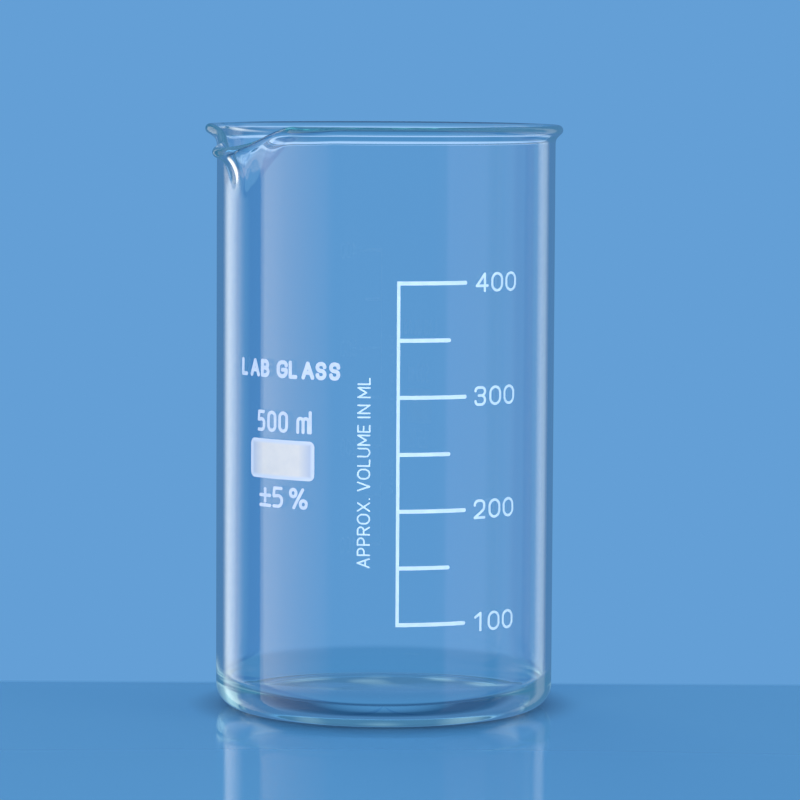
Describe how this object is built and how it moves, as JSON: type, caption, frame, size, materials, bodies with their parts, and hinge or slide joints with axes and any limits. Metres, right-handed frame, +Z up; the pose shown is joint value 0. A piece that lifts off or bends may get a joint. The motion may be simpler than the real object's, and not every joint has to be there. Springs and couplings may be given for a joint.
{
  "type": "beaker",
  "caption": "Tall-form clear glass laboratory beaker with a rolled rim, a pouring spout and a fired white volume scale.",
  "frame": {"origin": "centre of the standing ring under the base, on the plane it stands on", "axes": "+Z up along the vessel's axis, -Y out of the printed front, +X to the right as the print is read; the spout points left and forwards, 30 degrees from -X towards -Y"},
  "size_m": [0.0814, 0.0804, 0.133],
  "materials": {
    "clear_glass": "clear, fire-polished",
    "white_enamel": "satin fired enamel"
  },
  "bodies": {
    "root": {"accuracy_label": "white_enamel", "capacity_label": "white_enamel", "glass_vessel": "clear_glass", "lab_glass_label": "white_enamel", "mark_100": "white_enamel", "mark_150": "white_enamel", "mark_200": "white_enamel", "mark_250": "white_enamel", "mark_300": "white_enamel", "mark_350": "white_enamel", "mark_400": "white_enamel", "numeral_100": "white_enamel", "numeral_200": "white_enamel", "numeral_300": "white_enamel", "numeral_400": "white_enamel", "scale_caption": "white_enamel", "scale_spine": "white_enamel", "writing_panel": "white_enamel"}
  },
  "joints": []
}
